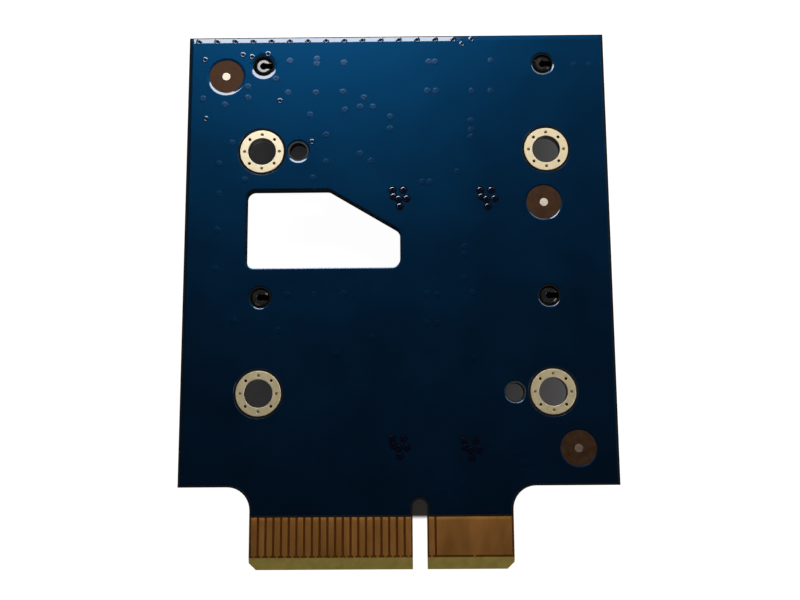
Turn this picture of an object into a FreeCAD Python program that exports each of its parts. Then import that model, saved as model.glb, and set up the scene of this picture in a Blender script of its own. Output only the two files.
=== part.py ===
# A SATA backplane adapter card for two drives: a circuit board with a card-edge tongue,
# two surface-mounted 22-contact SATA receptacles and the small power parts beside them.
# The frame has X across the board, Y from the tongue's tip to the top edge, and Z up from
# the mating faces of the receptacles, on which the card lies with its bare side up.
import FreeCAD, Part
import operator
import os
from types import SimpleNamespace

import Sketcher

# Driving sizes in millimetres, and counts
SIZES = {
    # board: widths are along X, and heights along the board start at the tongue's shoulder
    "board_width": 57.7,
    "board_thickness": 1.5,
    "copper_thickness": 0.05,
    "shoulder_radius": 3.0,
    # card edge with its polarising key
    "tongue_length": 10.55,
    "tongue_corner": 0.9,
    "bevel_length": 1.55,
    "bevel_depth": 0.5,
    "key_x": 2.74,
    "key_width": 1.9,
    "key_depth": 8.85,
    "finger_pitch": 1.0,
    "finger_width": 0.7,
    "finger_length": 5.15,
    "finger_tip_gap": 1.7,
    "first_finger": 1.5,
    "end_margin": 0.65,
    "long_finger_count": 21,
    "short_finger_count": 11,
    # screw holes with plated lands, and the two plain locating holes beside them
    "mount_x": 1.0,
    "lower_mount_y": 12.18,
    "mount_pitch_x": 39.0,
    "mount_pitch_y": 33.2,
    "mount_hole": 3.8,
    "land_diameter": 6.0,
    "plating_thickness": 0.05,
    "locator_hole": 2.4,
    "locator_spacing": 5.0,
    # window in the board, between the lower receptacle and the upper screw holes
    "window_left": 20.5,
    "window_right": 0.4,
    "window_above_socket": 4.02,
    "window_below_mount": 5.51,
    "window_right_height": 5.0,
    "window_top_right": 9.24,
    "window_radius": 1.1,
    # fiducial marks
    "fiducial_dot": 1.1,
    "fiducial_edge_x": 5.25,
    "fiducial_top_y": 5.67,
    "fiducial_shoulder_y": 4.78,
    "fiducial_mount_x": 0.52,
    "fiducial_mount_y": 7.48,
    # receptacles
    "socket_x": 0.95,
    "lower_socket_y": 25.05,
    "socket_pitch": 32.68,
    "top_margin": 4.17,
    "socket_height": 8.6,
    "socket_width": 5.2,
    "socket_end": 4.65,
    "ear_width": 3.6,
    "ear_length": 2.6,
    "ear_chamfer": 0.7,
    "row_offset": 0.55,
    "contact_pitch": 1.27,
    "signal_contact_count": 7,
    "power_contact_count": 15,
    "slot_margin": 1.395,
    "slot_gap": 2.41,
    "slot_width": 1.5,
    "slot_depth": 6.0,
    "slot_shift": 0.35,
    "slot_lead_in": 0.3,
    "key_foot_width": 1.2,
    "key_foot_reach": 0.85,
    "contact_width": 0.5,
    "contact_clearance": 0.06,
    "contact_strip": 0.25,
    "contact_seat": 1.5,
    "contact_bump_reach": 0.3,
    "contact_bump_depth": 2.5,
    "contact_knee_depth": 4.3,
    "contact_tip_depth": 1.2,
    "contact_lip": 0.8,
    "tail_reach": 1.0,
    "peg_inset": 1.95,
    "peg_diameter": 2.3,
    "peg_bore": 1.1,
    "peg_slot": 0.8,
    "peg_recess": 0.2,
    "peg_clearance": 0.15,
    "tab_width": 2.4,
    "tab_height": 2.4,
    "tab_foot": 1.2,
    "tab_strip": 0.25,
    # power switches, one for each supply of each drive
    "switch_left_x": 0.3,
    "switch_pitch_x": 10.8,
    "upper_switch_drop": 6.5,
    "lower_switch_y": 4.9,
    "switch_length": 4.9,
    "switch_width": 3.9,
    "switch_height": 1.5,
    "switch_standoff": 0.15,
    "switch_bevel": 0.35,
    "lead_pitch": 1.27,
    "lead_count": 4,
    "lead_width": 0.42,
    "lead_strip": 0.2,
    "lead_span": 6.0,
    "lead_foot": 0.6,
    # for each supply, a ceramic capacitor below its power contacts and a resistor beside its switch
    "capacitor_length": 3.2,
    "capacitor_width": 1.6,
    "capacitor_height": 1.1,
    "capacitor_end": 0.5,
    "capacitor_drop": 6.4,
    "supply_step_count": 6,
    "resistor_length": 1.6,
    "resistor_width": 0.8,
    "resistor_height": 0.45,
    "resistor_end": 0.3,
    "resistor_gap": 1.6,
}

Vector = FreeCAD.Vector
OPERATIONS = {"+": operator.add, "-": operator.sub, "*": operator.mul, "/": operator.truediv}
PICK_TOLERANCE = 1e-4

doc = FreeCAD.newDocument("backplane_adapter")
sheet = doc.addObject("Spreadsheet::Sheet", "sheet")
for row, (alias, amount) in enumerate(SIZES.items(), start=1):
    sheet.set(f"A{row}", alias)
    sheet.set(f"B{row}", str(amount))
    sheet.setAlias(f"B{row}", alias)
doc.recompute()

sub_parts = []


class Formula:
    """A size worked out from the sheet: the expression that binds it, and its number."""

    def __init__(self, text, number):
        self.text = text
        self.number = number

    def __add__(self, other):
        return joined(self, "+", other)

    def __radd__(self, other):
        return joined(other, "+", self)

    def __sub__(self, other):
        return joined(self, "-", other)

    def __rsub__(self, other):
        return joined(other, "-", self)

    def __mul__(self, other):
        return joined(self, "*", other)

    def __rmul__(self, other):
        return joined(other, "*", self)

    def __truediv__(self, other):
        return joined(self, "/", other)

    def __neg__(self):
        return joined(0, "-", self)


def as_formula(size):
    return size if isinstance(size, Formula) else Formula(str(size), size)


def joined(left, sign, right):
    left = as_formula(left)
    right = as_formula(right)
    number = OPERATIONS[sign](left.number, right.number)
    return Formula(f"({left.text} {sign} {right.text})", number)


def bind(item, target, size):
    item.setExpression(target, as_formula(size).text)


S = SimpleNamespace(**{alias: Formula(f"sheet.{alias}", amount) for alias, amount in SIZES.items()})


# Places worked out from the driving sizes

body_length = S.lower_socket_y + S.socket_pitch + S.top_margin
shoulder = (S.tongue_length - body_length) / 2
top_edge = shoulder + body_length
tip = shoulder - S.tongue_length
half_width = S.board_width / 2
tongue_left = S.key_x - (S.first_finger + (S.long_finger_count - 1) * S.finger_pitch + S.end_margin)
tongue_right = S.key_x + (S.first_finger + (S.short_finger_count - 1) * S.finger_pitch + S.end_margin)
finger_bottom = tip + S.finger_tip_gap
finger_top = finger_bottom + S.finger_length

front_face = S.socket_height
rear_face = front_face + S.board_thickness

socket_rows = {"lower": shoulder + S.lower_socket_y}
socket_rows["upper"] = socket_rows["lower"] + S.socket_pitch
mount_rows = {"lower": shoulder + S.lower_mount_y}
mount_rows["upper"] = mount_rows["lower"] + S.mount_pitch_y
mount_columns = {"left": S.mount_x - S.mount_pitch_x / 2, "right": S.mount_x + S.mount_pitch_x / 2}
mounts = {
    f"{row}_{column}": (mount_columns[column], mount_rows[row])
    for row in ("upper", "lower")
    for column in ("left", "right")
}
locators = [
    (mount_columns["left"] + S.locator_spacing, mount_rows["upper"]),
    (mount_columns["right"] - S.locator_spacing, mount_rows["lower"]),
]
fiducials = [
    (S.fiducial_edge_x - half_width, top_edge - S.fiducial_top_y),
    (mount_columns["right"] - S.fiducial_mount_x, mount_rows["upper"] - S.fiducial_mount_y),
    (half_width - S.fiducial_edge_x, shoulder + S.fiducial_shoulder_y),
]

# Along a receptacle, from its middle: the signal slot lies to the left of the power slot
signal_slot = (S.signal_contact_count - 1) * S.contact_pitch + 2 * S.slot_margin
power_slot = (S.power_contact_count - 1) * S.contact_pitch + 2 * S.slot_margin
slots_length = signal_slot + S.slot_gap + power_slot
slots_left = -slots_length / 2 - S.row_offset
slot_starts = {"signal": slots_left, "power": slots_left + signal_slot + S.slot_gap}
slot_lengths = {"signal": signal_slot, "power": power_slot}
contact_counts = {"signal": S.signal_contact_count, "power": S.power_contact_count}
socket_length = slots_length + 2 * S.socket_end
peg_reach = socket_length / 2 - S.peg_inset
slot_back = S.slot_shift - S.slot_width / 2
slot_front = S.slot_shift + S.slot_width / 2
pegs = [
    (S.socket_x + side * peg_reach, socket_rows[row])
    for row in ("upper", "lower")
    for side in (-1, 1)
]


# Sketches and features

def new_body(label, x=0, y=0, z=0):
    body = doc.addObject("PartDesign::Body", label)
    body.Label = label
    for axis, size in zip("xyz", (x, y, z)):
        bind(body, f"Placement.Base.{axis}", size)
    sub_parts.append(body)
    return body


def new_sketch(body, name, plane="XY_Plane", height=0):
    sketch = body.newObject("Sketcher::SketchObject", f"{body.Name}_{name}")
    support = [item for item in body.Origin.OriginFeatures if item.Role == plane][0]
    sketch.AttachmentSupport = (support, [""])
    sketch.MapMode = "FlatFace"
    bind(sketch, "AttachmentOffset.Base.z", height)
    return sketch


def bind_point(sketch, edge, position, x, y):
    for kind, size in (("DistanceX", x), ("DistanceY", y)):
        size = as_formula(size)
        rule = Sketcher.Constraint(kind, -1, 1, edge, position, size.number)
        bind(sketch, f"Constraints[{sketch.addConstraint(rule)}]", size)


def as_vector(x, y):
    return Vector(as_formula(x).number, as_formula(y).number, 0)


def add_polygon(sketch, corners):
    first = sketch.GeometryCount
    count = len(corners)
    for index in range(count):
        start = as_vector(*corners[index])
        end = as_vector(*corners[(index + 1) % count])
        sketch.addGeometry(Part.LineSegment(start, end))
    for index, (x, y) in enumerate(corners):
        following = first + (index + 1) % count
        sketch.addConstraint(Sketcher.Constraint("Coincident", first + index, 2, following, 1))
        bind_point(sketch, first + index, 1, x, y)


def add_rectangle(sketch, left, right, bottom, top):
    add_polygon(sketch, [(left, bottom), (right, bottom), (right, top), (left, top)])


def add_circle(sketch, x, y, diameter):
    circle = Part.Circle(as_vector(x, y), Vector(0, 0, 1), diameter.number / 2)
    index = sketch.addGeometry(circle)
    bind_point(sketch, index, 3, x, y)
    rule = Sketcher.Constraint("Diameter", index, diameter.number)
    bind(sketch, f"Constraints[{sketch.addConstraint(rule)}]", diameter)


def add_round_slot(sketch, middle, width, bottom, top):
    """A straight-sided slot, open at its bottom line, with a half-round upper end."""
    left = middle - width / 2
    right = middle + width / 2
    spring = top - width / 2
    corners = [(left, spring), (left, bottom), (right, bottom), (right, spring)]
    for start, end in zip(corners, corners[1:]):
        index = sketch.addGeometry(Part.LineSegment(as_vector(*start), as_vector(*end)))
        bind_point(sketch, index, 1, *start)
    bind_point(sketch, index, 2, right, spring)
    sketch.addConstraint(Sketcher.Constraint("Coincident", 0, 2, 1, 1))
    sketch.addConstraint(Sketcher.Constraint("Coincident", 1, 2, 2, 1))
    crown = Part.Arc(as_vector(right, spring), as_vector(middle, top), as_vector(left, spring))
    arc = sketch.addGeometry(crown)
    sketch.addConstraint(Sketcher.Constraint("Coincident", arc, 1, 2, 2))
    sketch.addConstraint(Sketcher.Constraint("Coincident", arc, 2, 0, 1))
    rule = Sketcher.Constraint("DistanceY", -1, 1, arc, 3, spring.number)
    bind(sketch, f"Constraints[{sketch.addConstraint(rule)}]", spring)


def pad(body, sketch, length, down=False, both_ways=False):
    feature = body.newObject("PartDesign::Pad", f"{sketch.Name}_pad")
    feature.Profile = sketch
    feature.Reversed = down
    feature.SideType = "Symmetric" if both_ways else "One side"
    bind(feature, "Length", length)
    doc.recompute()
    return feature


def pocket(body, sketch, depth=None, up=False):
    """Cut along the sketch's normal: through all both ways, or to a depth one way."""
    before = body.Shape.Volume
    feature = body.newObject("PartDesign::Pocket", f"{sketch.Name}_pocket")
    feature.Profile = sketch
    feature.Reversed = up
    if depth is None:
        feature.Type = "ThroughAll"
        feature.SideType = "Symmetric"
    else:
        bind(feature, "Length", depth)
    doc.recompute()
    if not body.Shape.Volume < before:
        raise RuntimeError(f"{feature.Name} cuts nothing")
    return feature


def row_of(body, originals, sketch, pitch, count, leftward=False):
    """Repeat features along X."""
    pattern = body.newObject("PartDesign::LinearPattern", f"{sketch.Name}_row")
    pattern.Originals = originals
    pattern.Direction = (sketch, ["H_Axis"])
    pattern.Reversed = leftward
    pattern.Mode = "Spacing"
    bind(pattern, "Offset", pitch)
    bind(pattern, "Occurrences", count)
    body.Tip = pattern
    doc.recompute()
    return pattern


def edges_along_z(body, corners):
    """Names of the upright edges that stand on the given corners."""
    spots = [as_vector(*corner) for corner in corners]
    names = []
    for index, edge in enumerate(body.Tip.Shape.Edges, start=1):
        ends = [vertex.Point for vertex in edge.Vertexes]
        upright = len(ends) == 2 and abs(ends[0].z - ends[1].z) > PICK_TOLERANCE
        foot = Vector(ends[0].x, ends[0].y, 0)
        if upright and any(foot.distanceToPoint(spot) < PICK_TOLERANCE for spot in spots):
            names.append(f"Edge{index}")
    return names


def flat_edges_at(body, height, inside=None):
    """Names of the edges that lie at one height, within a box (left, right, bottom, top)."""
    names = []
    for index, edge in enumerate(body.Tip.Shape.Edges, start=1):
        box = edge.BoundBox
        level = abs(box.ZMin - height.number) + abs(box.ZMax - height.number) < PICK_TOLERANCE
        if not level:
            continue
        if inside is not None:
            left, right, bottom, top = [as_formula(size).number for size in inside]
            middle = box.Center
            if not (left < middle.x < right and bottom < middle.y < top):
                continue
        names.append(f"Edge{index}")
    return names


def dress_edges(body, name, edges, kind, target, size):
    base = body.Tip
    feature = body.newObject(kind, f"{body.Name}_{name}")
    feature.Base = (base, edges)
    bind(feature, target, size)
    body.Tip = feature
    doc.recompute()


def round_edges(body, name, edges, radius):
    dress_edges(body, name, edges, "PartDesign::Fillet", "Radius", radius)


def chamfer_edges(body, name, edges, size):
    dress_edges(body, name, edges, "PartDesign::Chamfer", "Size", size)


def drill(body, name, holes):
    """Round holes through the body: each a place and a diameter."""
    sketch = new_sketch(body, name)
    for (x, y), diameter in holes:
        add_circle(sketch, x, y, diameter)
    pocket(body, sketch)


# The board

def cut_window(body):
    """A five-sided window with one sloping corner, rounded all round."""
    window = new_sketch(body, "window")
    bottom = socket_rows["lower"] + S.window_above_socket
    top = mount_rows["upper"] - S.window_below_mount
    corners = [
        (-S.window_left, bottom),
        (S.window_right, bottom),
        (S.window_right, bottom + S.window_right_height),
        (-S.window_top_right, top),
        (-S.window_left, top),
    ]
    add_polygon(window, corners)
    pocket(body, window)
    round_edges(body, "window_corners", edges_along_z(body, corners), S.window_radius)


def make_circuit_board():
    body = new_body("circuit_board", z=front_face)
    outline = new_sketch(body, "outline")
    add_polygon(outline, [
        (-half_width, shoulder),
        (tongue_left, shoulder),
        (tongue_left, tip),
        (tongue_right, tip),
        (tongue_right, shoulder),
        (half_width, shoulder),
        (half_width, top_edge),
        (-half_width, top_edge),
    ])
    pad(body, outline, S.board_thickness)
    roots = [(tongue_left, shoulder), (tongue_right, shoulder)]
    round_edges(body, "shoulders", edges_along_z(body, roots), S.shoulder_radius)
    tips = [(tongue_left, tip), (tongue_right, tip)]
    chamfer_edges(body, "tip_corners", edges_along_z(body, tips), S.tongue_corner)

    key = new_sketch(body, "key")
    add_round_slot(key, S.key_x, S.key_width, tip, tip + S.key_depth)
    pocket(body, key)

    bevel = new_sketch(body, "bevel", plane="YZ_Plane")
    rise = tip + S.bevel_length
    rear = S.board_thickness
    add_polygon(bevel, [(tip, 0), (rise, 0), (tip, S.bevel_depth)])
    add_polygon(bevel, [(tip, rear), (tip, rear - S.bevel_depth), (rise, rear)])
    pocket(body, bevel)

    cut_window(body)
    barrel = S.mount_hole + 2 * S.plating_thickness
    drill(body, "mount_holes", [(spot, barrel) for spot in mounts.values()])
    peg_hole = S.peg_diameter + 2 * S.peg_clearance
    drill(body, "peg_holes", [(spot, peg_hole) for spot in pegs])
    drill(body, "locator_holes", [(spot, S.locator_hole) for spot in locators])


# Bare copper: screw lands, fiducial dots and card-edge contacts

def make_mount_land(name, x, y):
    """A plated hole with a round land on each face of the board."""
    body = new_body(f"mount_land_{name}", x, y, front_face)
    barrel = S.mount_hole + 2 * S.plating_thickness
    stages = [
        ("front", -S.copper_thickness, S.land_diameter, S.copper_thickness),
        ("barrel", 0, barrel, S.board_thickness),
        ("rear", S.board_thickness, S.land_diameter, S.copper_thickness),
    ]
    for stage, height, diameter, length in stages:
        ring = new_sketch(body, stage, height=height)
        add_circle(ring, 0, 0, diameter)
        add_circle(ring, 0, 0, S.mount_hole)
        pad(body, ring, length)


def make_fiducial_dot(number, x, y):
    body = new_body(f"fiducial_dot_{number}", x, y, rear_face)
    dot = new_sketch(body, "dot")
    add_circle(dot, 0, 0, S.fiducial_dot)
    pad(body, dot, S.copper_thickness)


def add_finger_row(body, name, start, count, leftward):
    finger = new_sketch(body, name)
    half = S.finger_width / 2
    add_rectangle(finger, start - half, start + half, finger_bottom, finger_top)
    first = pad(body, finger, S.copper_thickness)
    row_of(body, [first], finger, S.finger_pitch, count, leftward)


def make_edge_contacts():
    """Both faces have the long row; on the rear the short row's tail is one wide pad."""
    long_start = S.key_x - S.first_finger
    short_start = S.key_x + S.first_finger
    front = new_body("edge_contacts_front", z=front_face - S.copper_thickness)
    add_finger_row(front, "long_row", long_start, S.long_finger_count, True)
    add_finger_row(front, "short_row", short_start, S.short_finger_count, False)

    rear = new_body("edge_contacts_rear", z=rear_face)
    add_finger_row(rear, "long_row", long_start, S.long_finger_count, True)
    half = S.finger_width / 2
    short_end = short_start + (S.short_finger_count - 1) * S.finger_pitch
    wide = new_sketch(rear, "short_row")
    add_rectangle(wide, short_start - half, short_start + half, finger_bottom, finger_top)
    wide_start = short_start + S.finger_pitch - half
    add_rectangle(wide, wide_start, short_end + half, finger_bottom, finger_top)
    pad(rear, wide, S.copper_thickness)


# Receptacles: each body's origin is the middle of its pegs, on the board's front face

def socket_body(label, row):
    return new_body(label, S.socket_x, socket_rows[row], front_face)


def cut_slot(body, kind):
    """An L-shaped slot from the mating face: a straight run with a key foot at its left."""
    slot = new_sketch(body, f"{kind}_slot", height=-S.socket_height)
    left = slot_starts[kind]
    right = left + slot_lengths[kind]
    foot_right = left + S.key_foot_width
    foot_front = slot_front + S.key_foot_reach
    add_polygon(slot, [
        (left, slot_back),
        (right, slot_back),
        (right, slot_front),
        (foot_right, slot_front),
        (foot_right, foot_front),
        (left, foot_front),
    ])
    pocket(body, slot, S.slot_depth, up=True)


def cut_contact_cells(body, kind):
    """Each contact drops from the board side into a cell, with a notch for its tail."""
    half = S.contact_width / 2 + S.contact_clearance
    middle = slot_starts[kind] + S.slot_margin
    cell = new_sketch(body, f"{kind}_cell")
    add_rectangle(cell, middle - half, middle + half, -S.contact_seat, slot_back)
    deep = pocket(body, cell, S.socket_height - S.contact_lip)
    notch = new_sketch(body, f"{kind}_notch")
    wall = -S.socket_width / 2
    add_rectangle(notch, middle - half, middle + half, wall, -S.contact_seat)
    shallow = pocket(body, notch, S.contact_strip + S.contact_clearance)
    row_of(body, [deep, shallow], cell, S.contact_pitch, contact_counts[kind])


def make_socket_housing(row):
    body = socket_body(f"{row}_socket_housing", row)
    ears = new_sketch(body, "ears")
    end = socket_length / 2
    add_rectangle(ears, -end, end, -S.ear_width / 2, S.ear_width / 2)
    pad(body, ears, S.socket_height, down=True)
    mouth = -S.socket_height
    chamfer_edges(body, "ear_lead_in", flat_edges_at(body, mouth), S.ear_chamfer)

    block = new_sketch(body, "block")
    shoulder_x = end - S.ear_length
    add_rectangle(block, -shoulder_x, shoulder_x, -S.socket_width / 2, S.socket_width / 2)
    pad(body, block, S.socket_height, down=True)

    for kind in ("signal", "power"):
        cut_slot(body, kind)
    reach = S.socket_width / 2 - PICK_TOLERANCE
    slots_right = slots_left + slots_length
    region = (slots_left - PICK_TOLERANCE, slots_right + PICK_TOLERANCE, -reach, reach)
    chamfer_edges(body, "slot_lead_in", flat_edges_at(body, mouth, region), S.slot_lead_in)
    for kind in ("signal", "power"):
        cut_contact_cells(body, kind)
    add_pegs(body)


def add_pegs(body):
    """Hollow locating pegs that pass up through the board, each slit on its right."""
    pegs_plan = new_sketch(body, "pegs")
    for side in (-1, 1):
        add_circle(pegs_plan, side * peg_reach, 0, S.peg_diameter)
    length = S.board_thickness - S.peg_recess
    pad(body, pegs_plan, length)
    bores = new_sketch(body, "peg_bores", height=length)
    slits = new_sketch(body, "peg_slits", height=length)
    for side in (-1, 1):
        middle = side * peg_reach
        add_circle(bores, middle, 0, S.peg_bore)
        add_rectangle(slits, middle, middle + S.peg_diameter, -S.peg_slot / 2, S.peg_slot / 2)
    pocket(body, bores, length)
    pocket(body, slits, length)


def make_socket_contacts(row, kind):
    """Spring contacts: a tail on the board, a leg in its cell and a bump in the slot."""
    body = socket_body(f"{row}_socket_{kind}_contacts", row)
    middle = slot_starts[kind] + S.slot_margin
    profile = new_sketch(body, "profile", plane="YZ_Plane", height=middle)
    strip = S.contact_strip
    tail = -(S.socket_width / 2 + S.tail_reach)
    leg = -S.contact_seat
    bump = slot_back + S.contact_bump_reach
    tip_y = leg + 2 * strip
    knee_z = S.contact_knee_depth - S.socket_height
    bump_z = S.contact_bump_depth - S.socket_height
    tip_z = S.contact_tip_depth - S.socket_height
    add_polygon(profile, [
        (tail, 0),
        (leg + strip, 0),
        (leg + strip, knee_z),
        (bump, bump_z),
        (tip_y, tip_z),
        (tip_y - strip, tip_z),
        (bump - strip, bump_z),
        (leg, knee_z),
        (leg, -strip),
        (tail, -strip),
    ])
    first = pad(body, profile, S.contact_width, both_ways=True)
    across = new_sketch(body, "across")
    row_of(body, [first], across, S.contact_pitch, contact_counts[kind])


def make_socket_tabs(row):
    """Metal hold-downs on the two ends of a housing, soldered to the board."""
    body = socket_body(f"{row}_socket_tabs", row)
    profile = new_sketch(body, "profile", plane="XZ_Plane")
    end = socket_length / 2
    strip = S.tab_strip
    for side in (-1, 1):
        face = side * end
        add_polygon(profile, [
            (face, 0),
            (face + side * (strip + S.tab_foot), 0),
            (face + side * (strip + S.tab_foot), -strip),
            (face + side * strip, -strip),
            (face + side * strip, -S.tab_height),
            (face, -S.tab_height),
        ])
    pad(body, profile, S.tab_width, both_ways=True)


# Power switches in small outline packages, and chip parts

switch_rows = {
    "upper": mount_rows["upper"] - S.upper_switch_drop,
    "lower": shoulder + S.lower_switch_y,
}
switch_columns = [S.switch_left_x, S.switch_left_x + S.switch_pitch_x]


def make_power_switch(name, x, y):
    case = new_body(f"{name}_case", x, y, front_face)
    plan = new_sketch(case, "plan", height=-S.switch_standoff)
    half_length = S.switch_length / 2
    half_width_y = S.switch_width / 2
    add_rectangle(plan, -half_length, half_length, -half_width_y, half_width_y)
    pad(case, plan, S.switch_height, down=True)
    bottom = -(S.switch_standoff + S.switch_height)
    strip = S.lead_strip
    near_side = (-half_length, half_length, -half_width_y - strip, -half_width_y + strip)
    chamfer_edges(case, "pin_side", flat_edges_at(case, bottom, near_side), S.switch_bevel)

    leads = new_body(f"{name}_leads", x, y, front_face)
    start = -S.lead_pitch * (S.lead_count - 1) / 2
    across = new_sketch(leads, "across")
    waist = -(S.switch_standoff + S.switch_height / 2)
    for side, word in ((-1, "near"), (1, "far")):
        profile = new_sketch(leads, f"{word}_profile", plane="YZ_Plane", height=start)
        toe = side * S.lead_span / 2
        heel = toe - side * S.lead_foot
        wall = side * half_width_y
        add_polygon(profile, [
            (toe, 0),
            (heel - side * strip, 0),
            (wall, waist),
            (wall, waist - strip),
            (heel, -strip),
            (toe, -strip),
        ])
        first = pad(leads, profile, S.lead_width, both_ways=True)
        pattern = row_of(leads, [first], across, S.lead_pitch, S.lead_count)
        pattern.Label = f"{name}_{word}_row"


def make_chips(name, spots, length, width, height, end):
    """Chip parts that stand along Y: plain bodies between two metal ends."""
    bodies = new_body(f"{name}_bodies", z=front_face)
    ends = new_body(f"{name}_ends", z=front_face)
    body_plan = new_sketch(bodies, "plan")
    end_plan = new_sketch(ends, "plan")
    for x, y in spots:
        left = x - width / 2
        right = x + width / 2
        inner = length / 2 - end
        add_rectangle(body_plan, left, right, y - inner, y + inner)
        add_rectangle(end_plan, left, right, y - length / 2, y - inner)
        add_rectangle(end_plan, left, right, y + inner, y + length / 2)
    pad(bodies, body_plan, height, down=True)
    pad(ends, end_plan, height, down=True)


make_circuit_board()
for mount_name, (mount_x, mount_y) in mounts.items():
    make_mount_land(mount_name, mount_x, mount_y)
for mark_number, (mark_x, mark_y) in enumerate(fiducials, start=1):
    make_fiducial_dot(mark_number, mark_x, mark_y)
make_edge_contacts()
for socket_row in ("upper", "lower"):
    make_socket_housing(socket_row)
    make_socket_contacts(socket_row, "signal")
    make_socket_contacts(socket_row, "power")
    make_socket_tabs(socket_row)

switch_spots = [
    (row, number, column)
    for row in ("upper", "lower")
    for number, column in enumerate(switch_columns, start=1)
]
for row, number, column in switch_spots:
    make_power_switch(f"{row}_power_switch_{number}", column, switch_rows[row])

# One supply comes in at the middle of the power contacts, the other some contacts to its right
first_supply = S.socket_x + slot_starts["power"] + power_slot / 2
supply_columns = [first_supply, first_supply + S.supply_step_count * S.contact_pitch]
capacitor_spots = [
    (column, socket_rows[row] - S.capacitor_drop)
    for row in ("upper", "lower")
    for column in supply_columns
]
make_chips("capacitor", capacitor_spots, S.capacitor_length, S.capacitor_width,
           S.capacitor_height, S.capacitor_end)
resistor_reach = S.switch_length / 2 + S.resistor_gap
resistor_spots = [(column + resistor_reach, switch_rows[row]) for row, number, column in switch_spots]
make_chips("resistor", resistor_spots, S.resistor_length, S.resistor_width,
           S.resistor_height, S.resistor_end)

doc.recompute()
failed = [item.Name for item in doc.Objects if {"Invalid", "Error"} & set(item.State)]
if failed:
    raise RuntimeError(f"failed features: {failed}")
for part in sub_parts:
    if part.Shape.isNull() or not part.Shape.isValid():
        raise RuntimeError(f"{part.Label} has no valid shape")

os.makedirs("parts", exist_ok=True)
for part in sub_parts:
    part.Shape.exportStep(f"parts/{part.Label}.step")
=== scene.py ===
# The looks of a SATA backplane adapter card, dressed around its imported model.
# Shapes are worked out in millimetres in the model's frame, and scaled to metres at the end.
import math

import bmesh
import bpy
from mathutils import Euler, Matrix, Vector
from mathutils.geometry import delaunay_2d_cdt


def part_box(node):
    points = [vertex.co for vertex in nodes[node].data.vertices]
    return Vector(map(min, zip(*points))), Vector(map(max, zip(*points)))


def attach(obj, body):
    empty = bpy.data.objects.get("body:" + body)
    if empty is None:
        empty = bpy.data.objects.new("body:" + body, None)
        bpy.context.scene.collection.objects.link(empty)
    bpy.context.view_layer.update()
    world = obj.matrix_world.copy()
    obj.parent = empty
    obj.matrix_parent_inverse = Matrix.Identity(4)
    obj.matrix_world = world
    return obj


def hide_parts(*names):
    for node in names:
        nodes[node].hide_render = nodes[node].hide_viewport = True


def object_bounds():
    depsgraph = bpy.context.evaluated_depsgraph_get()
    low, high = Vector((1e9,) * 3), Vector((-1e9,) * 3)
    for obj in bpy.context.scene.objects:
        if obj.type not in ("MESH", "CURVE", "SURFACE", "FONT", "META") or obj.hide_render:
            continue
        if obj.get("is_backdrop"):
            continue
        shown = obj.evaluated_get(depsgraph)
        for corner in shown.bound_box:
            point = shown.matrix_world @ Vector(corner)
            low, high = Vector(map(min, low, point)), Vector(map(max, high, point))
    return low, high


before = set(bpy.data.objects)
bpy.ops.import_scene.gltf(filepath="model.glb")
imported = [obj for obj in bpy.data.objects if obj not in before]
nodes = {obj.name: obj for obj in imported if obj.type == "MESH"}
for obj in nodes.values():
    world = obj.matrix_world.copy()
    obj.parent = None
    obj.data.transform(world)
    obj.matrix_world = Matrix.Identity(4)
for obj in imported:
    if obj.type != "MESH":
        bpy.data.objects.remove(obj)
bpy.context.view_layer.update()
scene = bpy.context.scene
scene.view_settings.view_transform = "Standard"

MM = 0.001
REAR, FRONT = 1, -1


def node_box(name):
    """Lowest and highest corner of a node, in millimetres."""
    low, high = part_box(name)
    return low / MM, high / MM


def middle_of(name):
    low, high = node_box(name)
    return (low + high) / 2


board_low, board_high = node_box("circuit_board")
FACE_Z = {REAR: board_high.z, FRONT: board_low.z}
copper = node_box("edge_contacts_rear")[1].z - board_high.z
WALL_DEPTH = 0.5
shoulder_y = min(
    v.co.y / MM for v in nodes["circuit_board"].data.vertices if v.co.x / MM < board_low.x + WALL_DEPTH
)

# Camera: fitted to the outline, the holes and the contacts of the photograph
IMAGE_WIDTH, IMAGE_HEIGHT = 800, 600
FOCAL_PIXELS = 1000.0
SENSOR_WIDTH = 36.0
CAMERA_TURN = [math.radians(angle) for angle in (-9.0486, -0.4375, 0.4442)]
CAMERA_ABOVE_BOARD = Vector((1.3645, -22.193, 132.38))

turn = Euler(CAMERA_TURN, "XYZ").to_matrix().transposed()
camera_place = CAMERA_ABOVE_BOARD + Vector((0, 0, board_high.z))
camera = bpy.data.objects.new("camera", bpy.data.cameras.new("camera"))
camera.data.sensor_width = SENSOR_WIDTH
camera.data.lens = SENSOR_WIDTH * FOCAL_PIXELS / IMAGE_WIDTH
camera.data.clip_start = MM
camera.matrix_world = Matrix.Translation(camera_place * MM) @ turn.to_4x4()
scene.collection.objects.link(camera)
scene.camera = camera


def on_board(pixel):
    """The place on the board's rear face that a pixel of the photograph shows."""
    across = (pixel[0] - IMAGE_WIDTH / 2) / FOCAL_PIXELS
    upward = (IMAGE_HEIGHT / 2 - pixel[1]) / FOCAL_PIXELS
    ray = turn @ Vector((across, upward, -1))
    spot = camera_place + ray * ((board_high.z - camera_place.z) / ray.z)
    return Vector((spot.x, spot.y))


# Materials. A Mix node's colour sockets go by number, because their names repeat for each kind of data.
NOISE_LOW, NOISE_HIGH = 0.3, 0.7
NOISE_ROUGHNESS = 0.55
EDGE_SAMPLES = 6
MIX_FIRST, MIX_SECOND, MIX_RESULT = 6, 7, 2


def new_material(name):
    material = bpy.data.materials.new(name)
    material.use_nodes = True
    tree = material.node_tree
    return material, tree, tree.nodes["Principled BSDF"]


def add_node(tree, kind, **settings):
    node = tree.nodes.new(kind)
    for key, value in settings.items():
        setattr(node, key, value)
    return node


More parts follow.
